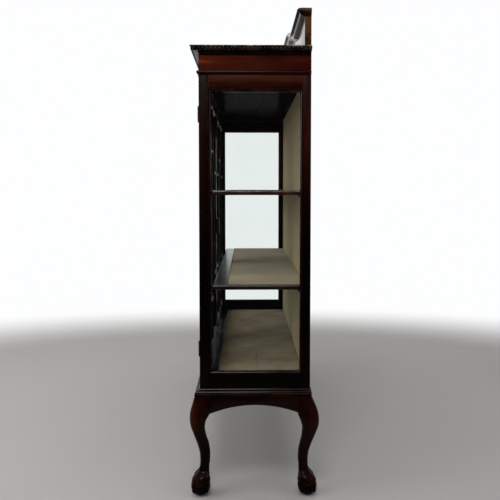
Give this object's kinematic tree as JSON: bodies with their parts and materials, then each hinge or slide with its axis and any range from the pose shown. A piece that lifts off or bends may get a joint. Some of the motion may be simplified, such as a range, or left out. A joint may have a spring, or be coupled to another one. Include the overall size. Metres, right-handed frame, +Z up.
{
  "type": "display cabinet",
  "caption": "Glazed mahogany display cabinet on cabriole legs with ball-and-claw feet, hinged astragal doors, cloth-lined shelves and a shaped gallery.",
  "frame": {"origin": "on the floor, under the middle of the cabinet", "axes": "+Z up, doors face -Y, +X towards the right end as seen from the front"},
  "size_m": [1.254, 0.386, 1.498],
  "materials": {
    "mahogany": "polished red-brown mahogany",
    "dark_mahogany": "dark polished mahogany",
    "cloth": "olive-beige lining cloth",
    "glass": "clear window glass",
    "brass": "aged brass",
    "steel": "worn steel"
  },
  "bodies": {
    "carcase": {"leg_front_left": "mahogany", "leg_front_right": "mahogany", "leg_back_left": "mahogany", "leg_back_right": "mahogany", "apron_front": "mahogany", "apron_back": "mahogany", "apron_left": "mahogany", "apron_right": "mahogany", "bottom_board": "mahogany", "floor_lining": "cloth", "front_post_left": "dark_mahogany", "front_post_right": "dark_mahogany", "back_post_left": "dark_mahogany", "back_post_right": "dark_mahogany", "end_top_rail_left": "dark_mahogany", "end_top_rail_right": "dark_mahogany", "end_bottom_rail_left": "dark_mahogany", "end_bottom_rail_right": "dark_mahogany", "end_glass_left": "glass", "end_glass_right": "glass", "back_panel": "dark_mahogany", "back_lining": "cloth", "ceiling_board": "dark_mahogany", "frieze_front": "mahogany", "frieze_left": "mahogany", "frieze_right": "mahogany", "cornice_moulding": "mahogany", "top_board": "mahogany", "gallery_board": "mahogany", "gallery_cap": "mahogany", "shelf_lower": "mahogany", "shelf_upper": "mahogany", "shelf_lining_lower": "cloth", "shelf_lining_upper": "cloth", "hinge_lower_left_post_leaf": "brass", "hinge_upper_left_post_leaf": "brass", "hinge_lower_right_post_leaf": "brass", "hinge_upper_right_post_leaf": "brass"},
    "left_door": {"left_door_hinge_stile": "dark_mahogany", "left_door_meeting_stile": "dark_mahogany", "left_door_top_rail": "dark_mahogany", "left_door_bottom_rail": "dark_mahogany", "left_door_glazing_bars": "dark_mahogany", "left_door_glass": "glass", "hinge_lower_left_door_leaf": "brass", "hinge_upper_left_door_leaf": "brass", "bolt_guide": "brass"},
    "right_door": {"right_door_hinge_stile": "dark_mahogany", "right_door_meeting_stile": "dark_mahogany", "right_door_top_rail": "dark_mahogany", "right_door_bottom_rail": "dark_mahogany", "right_door_glazing_bars": "dark_mahogany", "right_door_glass": "glass", "hinge_lower_right_door_leaf": "brass", "hinge_upper_right_door_leaf": "brass", "escutcheon": "brass", "lock_case": "brass"},
    "key": {"key": "steel"},
    "lock_bolt": {"lock_bolt": "steel"},
    "flush_bolt": {"flush_bolt": "brass"}
  },
  "joints": [
    {"name": "left_door_hinge", "type": "hinge", "parent": "carcase", "child": "left_door", "pos_m": [-0.57125, -0.1695, 0.79], "axis": [0, 0, -1], "range_deg": [0, 105]},
    {"name": "right_door_hinge", "type": "hinge", "parent": "carcase", "child": "right_door", "pos_m": [0.57125, -0.1695, 0.79], "axis": [0, 0, 1], "range_deg": [0, 105]},
    {"name": "key_turn", "type": "hinge", "parent": "right_door", "child": "key", "pos_m": [0.021, -0.1695, 0.772], "axis": [0, 1, 0], "range_deg": [0, 180]},
    {"name": "lock_bolt_slide", "type": "slide", "parent": "right_door", "child": "lock_bolt", "axis": [-1, 0, 0], "range_m": [0, 0.008]},
    {"name": "flush_bolt_slide", "type": "slide", "parent": "left_door", "child": "flush_bolt", "axis": [0, 0, 1], "range_m": [0, 0.01]}
  ],
  "couplings": [
    {"joint": "key_turn", "follows": "lock_bolt_slide", "rad_per_m": 392.69}
  ]
}
